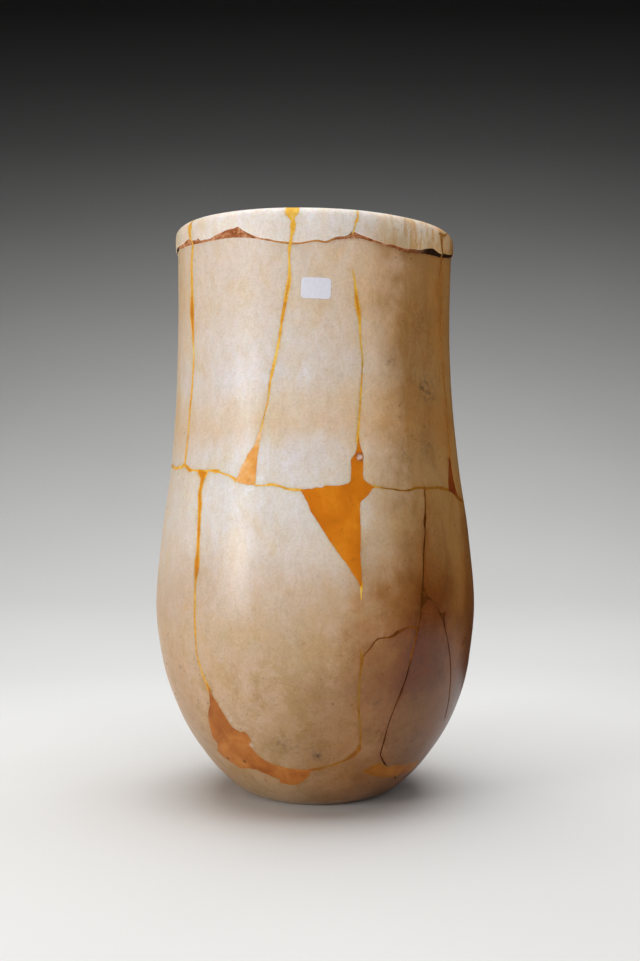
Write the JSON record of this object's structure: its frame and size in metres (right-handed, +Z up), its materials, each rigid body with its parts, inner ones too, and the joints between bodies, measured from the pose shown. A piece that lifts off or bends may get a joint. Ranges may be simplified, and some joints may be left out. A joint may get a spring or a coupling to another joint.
{
  "type": "alabaster jar",
  "caption": "Tall hollow stone jar with a waisted neck, low belly and broken lip edge, mended with orange resin fills, with a blank paper sticker.",
  "frame": {"origin": "on the resting plane under the middle of the jar", "axes": "+Z up along the jar's axis, -Y towards the side that the picture shows, +X to that side's right"},
  "size_m": [0.2298, 0.2298, 0.403],
  "materials": {
    "alabaster": "satin, waxy, faintly translucent, banded cream to tan with brown cracks",
    "mending_resin": "cast orange resin, slightly translucent, sanded level with the stone",
    "paper": "matt white sticker, nothing written on it"
  },
  "bodies": {
    "root": {"jar_body": "alabaster", "belly_fill_centre": "mending_resin", "neck_fill_left": "mending_resin", "neck_fill_right": "mending_resin", "bowl_fill_left": "mending_resin", "rim_fill": "mending_resin", "paper_sticker": "paper"}
  },
  "joints": []
}
